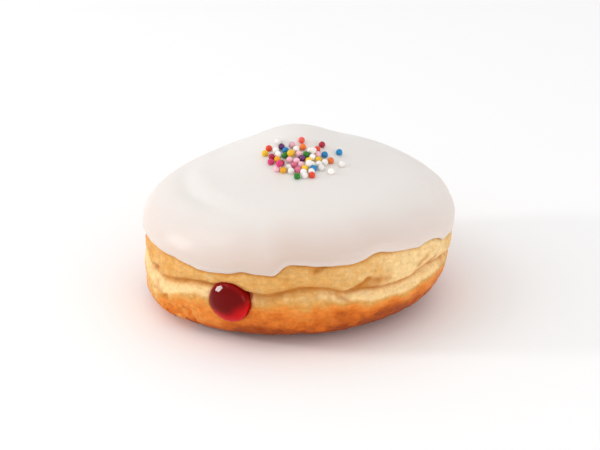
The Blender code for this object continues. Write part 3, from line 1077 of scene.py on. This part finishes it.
@dataclass
class Icing:
    """The icing, poured over the dough: an even coat that ends in a rounded, uneven lip."""

    form: BunForm
    gap: float = 0.12
    thickness: float = 1.38
    edge_level: float = 25.8
    tongues: tuple[Tongue, ...] = (
        Tongue(24, 62, 1.6), Tongue(88, 128, 2.4), Tongue(150, 262.5, 3.3), Tongue(334, 373, 2.6),
    )
    drips: tuple[Wave, ...] = (
        Wave(45, 6, 1.0), Wave(106, 7, 1.2), Wave(172, 6, 0.8), Wave(189, 7, 0.9),
        Wave(236, 10, 0.8), Wave(249.5, 4, -0.7), Wave(285, 14, 1.0), Wave(299, 5.5, -1.2),
        Wave(319, 7.5, 0.8), Wave(332, 4.5, 1.4), Wave(344, 5.5, 1.0),
    )
    edge_ripple: Lumps = Lumps(21, 3.4, 0.16, 2)
    lip_round: float = 1.9
    lip_bead: float = 0.28
    bead_from_edge: float = 2.6
    bead_half_width: float = 1.5
    soft_waves: tuple[Lumps, ...] = (Lumps(22, 15.0, 0.3), Lumps(23, 6.0, 0.09))
    bits: tuple[Place, ...] = (
        (33.0, -4.4), (34.5, -5.8), (36.7, -6.5), (12.6, -3.6), (14.4, -1.2), (-17.8, 13.4),
    )
    bit_height: float = 0.34
    bit_radius: float = 0.75
    # Where and how broadly the dough shows through the icing and painted shade darkens its lower front.
    thin_and_shaded_azimuth: float = 265
    thin_and_shade_half_width: float = 9.5
    columns: int = 640
    outer_rows: int = 118
    inner_rows: int = 30
    row_crowding: float = 1.5
    top_tilt: float = 89.0
    window: int = 36
    halvings: int = 30
    finish: IcingFinish = field(default_factory=IcingFinish)

    def edge_height(self, azimuth: Array) -> Array:
        """Height of the lower edge: its level, less the tongues and the drips, plus ripples."""
        drop = sum(part.at(azimuth) for part in self.tongues + self.drips)
        return self.edge_level - drop + self.edge_ripple.at(directions(azimuth) * self.form.plan_radius)

    def top(self, azimuth: Array, tilt: Array, from_edge: Array) -> Array:
        """Points on the icing's upper surface.

        The coat's thickness follows a quarter ellipse at its lip, so the lip is round, and a
        low bead lies behind it. Soft waves and small bits stand on it.

        Args:
            azimuth: azimuths of the points.
            tilt: tilts of the points on the dough below.
            from_edge: distances from the icing's edge, along the dough.

        Returns:
            Points in millimetres.
        """
        base = self.form.skin(azimuth, tilt)
        share = np.clip(from_edge / self.lip_round, 0, 1)
        coat = self.thickness * np.sqrt(1 - (1 - share) ** 2)
        bead = bell(from_edge - self.bead_from_edge, self.bead_half_width)
        coat = coat + self.lip_bead * bead * share
        waves = sum(wave.at(base) for wave in self.soft_waves)
        away = [lengths(base[..., :2] - np.array(bit)) for bit in self.bits]
        bits = sum(self.bit_height * bell(distance, self.bit_radius) for distance in away)
        coat = coat + (waves + bits) * ramp(from_edge, 1.0, 5.0)
        return base + self.form.normals(azimuth, tilt) * (self.gap + coat)[..., None]

    def build(self) -> None:
        """Make the icing as one closed skin: down the outside, round the lip and back up."""
        azimuth = azimuths_of(self.columns)
        edge = self.form.tilt_at_height(self.edge_height(azimuth))
        share = np.linspace(1, 0, self.outer_rows)[:, None]
        tilt = edge + (self.top_tilt - edge) * share**self.row_crowding
        from_edge = self.distance_to_edge(self.form.skin(azimuth, tilt))
        outer = self.top(azimuth, tilt, from_edge)
        share = np.linspace(0, 1, self.inner_rows + 1)[1:, None]
        inner_tilt = edge + (self.top_tilt - edge) * share
        inner = self.form.skin(azimuth, inner_tilt)
        inner = inner + self.form.normals(azimuth, inner_tilt) * self.gap
        rings = np.concatenate([outer, inner])
        made = closed_skins("white_icing", rings, rings[[0, -1]].mean(1))
        # Thin value: the dough showing through, and painted shade on the lower front; the underside is
        # all thin.
        thin = np.concatenate([self.thinness_and_painted_shade(azimuth, from_edge), np.ones_like(inner_tilt)])
        set_values(made, "thin", np.append(thin.ravel(), (0, 1)))
        dress(made, self.finish.material())
        stand_for(made, "icing")

    def distance_to_edge(self, path: Array) -> Array:
        """Shortest distance from each point on the dough to the icing's edge, its last row.

        The edge is taken as straight pieces between its points, and the pieces within a
        window of columns are tried in turn.

        Args:
            path: points on the dough, rows by columns, from the top to the edge.

        Returns:
            Distances in millimetres.
        """
        nearest = np.full(path.shape[:2], np.inf)
        for shift in range(-self.window, self.window + 1):
            start = np.roll(path[-1], shift, axis=0)
            piece = np.roll(path[-1], shift - 1, axis=0) - start
            share = ((path - start) * piece).sum(-1) / (piece**2).sum(-1)
            foot = start + np.clip(share, 0, 1)[..., None] * piece
            nearest = np.minimum(nearest, lengths(path - foot))
        return nearest

    def thinness_and_painted_shade(self, azimuth: Array, from_edge: Array) -> Array:
        """How far the dough shows through, with painted shade: a bell from the lip up, more at the
        front, where the painted shade lies.

        Near the edge it is halved by a bell a millimetre wide, a painted highlight on the round lip.

        Args:
            azimuth: azimuths of the points.
            from_edge: distances from the icing's edge.

        Returns:
            Share from 0 to 1.
        """
        # More at the front: painted shade where the icing turns down, on top of the dough showing
        # through.
        front = 0.55 + 0.45 * bell(turned_from(azimuth, self.thin_and_shaded_azimuth), 45)
        # Halved near the edge: a painted highlight on the round lip.
        front = front * (1 - 0.5 * bell(from_edge, 1.0))
        return np.clip(0.8 * front * bell(from_edge, self.thin_and_shade_half_width), 0, 1)

    def top_over(self, places: Array) -> tuple[Array, Array]:
        """Points of the icing over places on the plan, and the way it faces there.

        The tilt is found by halving the range until the dough below reaches the place.

        Args:
            places: places on the plan, x and y in the last axis.

        Returns:
            Points and outward unit normals.
        """
        azimuth = np.degrees(np.arctan2(places[:, 1], places[:, 0]))
        reach = lengths(places)
        low, high = np.zeros_like(reach), np.full_like(reach, 90.0)
        for _ in range(self.halvings):
            middle = (low + high) / 2
            outside = lengths(self.form.skin(azimuth, middle)[:, :2]) > reach
            low, high = np.where(outside, middle, low), np.where(outside, high, middle)
        far = np.full_like(reach, 50.0)
        return self.top(azimuth, high, far), self.form.normals(azimuth, high)


@dataclass
class PearlHeap:
    """Sugar pearls in a heap on the middle of the icing.

    The coloured pearls are placed at listed spots. The rest fall at random into the gaps
    between them, and all of them push each other apart until none overlap. The last few lie on top.
    """

    icing: Icing
    radius: float = 0.95
    unevenness: Lumps = Lumps(31, 1.0, 0.035)
    sink: float = 0.3
    spacing: float = 1.94
    count: int = 52
    tries: int = 6000
    falling_spacing: float = 1.6
    pushes: int = 60
    spots_tried: int = 4000
    top_reach: float = 0.8
    top_spacing: float = 3.0
    centre: Place = (-0.8, -1.8)
    reach: Place = (7.4, 6.6)
    crowding: float = 0.55
    seed: int = 7
    columns: int = 24
    rows: int = 15
    placed: tuple[tuple[Dye, tuple[Place, ...]], ...] = (
        (Dye.RED, ((-8.6, 3.7), (3.9, 2.8), (2.9, -9.4))),
        (Dye.YELLOW, ((-9.7, 1.7), (-2.6, 0.9), (2.3, -2.2), (4.6, -1.4), (0.9, -6.0))),
        (Dye.AMBER, ((-6.7, -1.5), (-4.6, -6.8))),
        (Dye.CRIMSON, ((-7.5, -0.4), (5.4, 5.3))),
        (Dye.ROSE, ((-2.0, -4.6),)),
        (Dye.MAGENTA, ((-8.1, -2.5),)),
        (Dye.CRIMSON, ((-5.4, -3.4),)),
        (Dye.PINK, ((-3.0, -2.0), (-1.0, -2.1))),
        (Dye.ROSE, ((-0.8, -6.9),)),
        (Dye.PINK, ((-6.6, -6.2),)),
        (Dye.ORANGE, ((0.3, 3.3), (7.7, -1.4))),
        (Dye.PURPLE, ((-5.2, 3.5), (0.2, -1.1))),
        (Dye.BLUE, ((-4.2, 1.9), (5.9, 1.1), (3.2, -5.5))),
        (Dye.GREEN, ((-4.5, 0.2), (1.3, 0.2), (-1.1, -10.3))),
        (Dye.CORAL, ((0.0, 5.9),)),
        (Dye.BLUE, ((10.2, 3.6),)),
        (Dye.WHITE, ((0.9, -9.7), (5.4, -5.2), (11.1, -2.4), (8.1, -7.1), (-6.0, 6.3))),
    )
    fillers: tuple[Dye, ...] = (Dye.WHITE, Dye.WHITE, Dye.PINK, Dye.WHITE)
    top_dyes: tuple[Dye, ...] = (Dye.WHITE, Dye.WHITE, Dye.YELLOW, Dye.WHITE, Dye.MAGENTA)

    def places(self) -> tuple[Array, list[Dye]]:
        """Let the pearls that lie on the icing fall, at random but for the placed ones.

        Returns:
            Their places on the plan, and their colours.
        """
        dyes = [dye for dye, spots in self.placed for _ in spots]
        places = [np.array(spot) for _, spots in self.placed for spot in spots]
        draws = Random(self.seed)
        for _ in range(self.tries):
            share = draws.random() ** self.crowding
            turn = draws.random() * 2 * np.pi
            direction = np.array([np.cos(turn), np.sin(turn)])
            place = np.array(self.centre) + np.array(self.reach) * direction * share
            if min(np.hypot(*(place - other)) for other in places) > self.falling_spacing:
                places.append(place)
                dyes.append(self.fillers[len(places) % len(self.fillers)])
            if len(places) == self.count:
                break
        return self.pushed_apart(np.array(places)), dyes

    def pushed_apart(self, places: Array) -> Array:
        """Move the pearls, all at once and many times, half the way out of each overlap.

        Args:
            places: places on the plan.

        Returns:
            The places that they are pushed to.
        """
        for _ in range(self.pushes):
            steps = places[:, None] - places[None]
            apart = lengths(steps)
            np.fill_diagonal(apart, np.inf)
            share = np.maximum(self.spacing - apart, 0) / 2 / apart
            places = places + (steps * share[..., None]).sum(1)
        return places

    def heaped(self, centres: Array) -> Array:
        """Centres of the pearls on top, each in a hollow between three pearls below.

        A pearl let down at a place comes to rest on the pearl that it meets first. The best
        places are those where it meets three pearls at nearly the same height.

        Args:
            centres: centres of the pearls below.

        Returns:
            Centres of the pearls on top.
        """
        draws = np.random.default_rng(self.seed)
        shares = draws.uniform(-self.top_reach, self.top_reach, (self.spots_tried, 2))
        spots = np.array(self.centre) + shares * np.array(self.reach)
        away = lengths(spots[:, None] - centres[None, :, :2])
        meets = centres[:, 2] + np.sqrt(np.maximum((2 * self.radius) ** 2 - away**2, 0))
        ranked = np.sort(np.where(away < 2 * self.radius, meets, 0), axis=1)[:, ::-1]
        unevenness = ranked[:, 0] - ranked[:, 2] + np.where(ranked[:, 2] > 0, 0, np.inf)
        apart = self.top_spacing * self.spacing
        chosen: list[Array] = []
        for index in np.argsort(unevenness):
            centre = np.append(spots[index], ranked[index, 0])
            if all(np.linalg.norm(centre - other) > apart for other in chosen):
                chosen.append(centre)
            if len(chosen) == len(self.top_dyes):
                break
        return np.array(chosen)

    def build(self) -> None:
        """Make one piece for each colour, with all the pearls of that colour in it."""
        places, dyes = self.places()
        tops, facing = self.icing.top_over(places)
        centres = tops + facing * (self.radius - self.sink)
        upper = self.heaped(centres)
        centres = np.concatenate([centres, upper])
        dyes = dyes + list(self.top_dyes[: len(upper)])
        tints = np.random.default_rng(self.seed).uniform(-1, 1, len(centres))
        for dye in Dye:
            chosen = [index for index in range(len(centres)) if dyes[index] is dye]
            self.piece(dye, centres[chosen], tints[chosen])

    def piece(self, dye: Dye, centres: Array, tints: Array) -> None:
        """Slightly uneven balls in one mesh: spheres whose radius varies by noise.

        Args:
            dye: their food colour.
            centres: centres of the balls.
            tints: one tint for each ball.
        """
        tilt = np.radians(np.linspace(90, -90, self.rows + 2))[1:-1, None]
        sphere = np.cos(tilt)[..., None] * directions(azimuths_of(self.columns))
        sphere[..., 2] = np.sin(tilt)
        here = centres[:, None, None]
        rings = sphere * self.radius * (1 + self.unevenness.at(sphere * 1.3 + here))[..., None]
        poles = np.array([[0, 0, self.radius], [0, 0, -self.radius]])
        made = closed_skins(f"{dye.name.lower()}_pearls", rings + here, poles + centres[:, None])
        set_values(made, "tint", np.repeat(tints, self.rows * self.columns + 2))
        dress(made, PearlFinish(dye).material())
        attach(made, BODY)
        LOG.info("%s: %d pearls", made.name, len(centres))


@dataclass(frozen=True)
class SoftLight:
    """A square white soft box that faces the doughnut."""

    name: str
    azimuth: float
    elevation: float
    distance: float
    side: float
    watts: float

    def build(self, aim: Vector) -> None:
        """Place the light on its bearing and turn it to the aim.

        Args:
            aim: what it lights, in metres.
        """
        turn, rise = np.radians(self.azimuth), np.radians(self.elevation)
        bearing = Vector((np.cos(rise) * np.cos(turn), np.cos(rise) * np.sin(turn), np.sin(rise)))
        light = bpy.data.lights.new(self.name, "AREA")
        light.energy = self.watts
        light.size = self.side * MM
        made = bpy.data.objects.new(self.name, light)
        made.location = aim + bearing * self.distance * MM
        made.rotation_euler = (-bearing).to_track_quat("-Z", "Y").to_euler()
        bpy.context.scene.collection.objects.link(made)


@dataclass(frozen=True)
class Studio:
    """Camera, soft light and a plain pale floor."""

    elevation: float = 23.0
    distance: float = 500.0
    lens_mm: float = 105.3
    aim_across: float = -0.31
    aim_down: float = 0.98
    floor_side: float = 6000.0
    sky_strength: float = 0.88
    lights: tuple[SoftLight, ...] = (
        SoftLight("key softbox", 190, 48, 900, 420, 0.8),
        SoftLight("side softbox", 184, 19, 700, 90, 1.23),
        SoftLight("front card", 318, 6, 900, 500, 1.6),
    )

    def build(self, girth_height: float) -> None:
        """Set up the camera, the sky, the lights and the floor.

        Args:
            girth_height: height of the doughnut's girth, which the camera aims at.
        """
        scene = bpy.context.scene
        rise = np.radians(self.elevation)
        forward = Vector((0, np.cos(rise), -np.sin(rise)))
        upward = Vector((0, np.sin(rise), np.cos(rise)))
        aim = Vector((self.aim_across, 0, girth_height)) - upward * self.aim_down
        camera = bpy.data.cameras.new("camera")
        camera.lens = self.lens_mm
        made = bpy.data.objects.new("camera", camera)
        made.location = (aim - forward * self.distance) * MM
        made.rotation_euler = forward.to_track_quat("-Z", "Y").to_euler()
        scene.collection.objects.link(made)
        scene.camera = made
        world = bpy.data.worlds.new("pale sky")
        world.use_nodes = True
        sky = {"Color": linear("#FFFFFF"), "Strength": self.sky_strength}
        feed(world.node_tree.nodes["Background"], sky)
        scene.world = world
        for light in self.lights:
            light.build(aim * MM)
        half = self.floor_side * MM / 2
        corners = [(-half, -half, 0), (half, -half, 0), (half, half, 0), (-half, half, 0)]
        mesh = bpy.data.meshes.new("floor")
        mesh.from_pydata(corners, [], [(0, 1, 2, 3)])
        floor = bpy.data.objects.new("floor", mesh)
        scene.collection.objects.link(floor)
        dress(floor, FloorFinish().material())
        scene.view_settings.view_transform = "Standard"
        LOG.info("studio: camera %.0f degrees above the horizon", self.elevation)


def main() -> None:
    """Build the doughnut and its studio."""
    logging.basicConfig(level=logging.INFO, format="%(name)s: %(message)s")
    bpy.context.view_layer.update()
    form = BunForm()
    jam = Jam(form)
    icing = Icing(form)
    dough = Dough(form, jam)
    dough.build(icing.edge_height(azimuths_of(dough.columns)))
    icing.build()
    jam.build()
    PearlHeap(icing).build()
    Studio().build(form.girth_height)


if __name__ == "__main__":
    main()
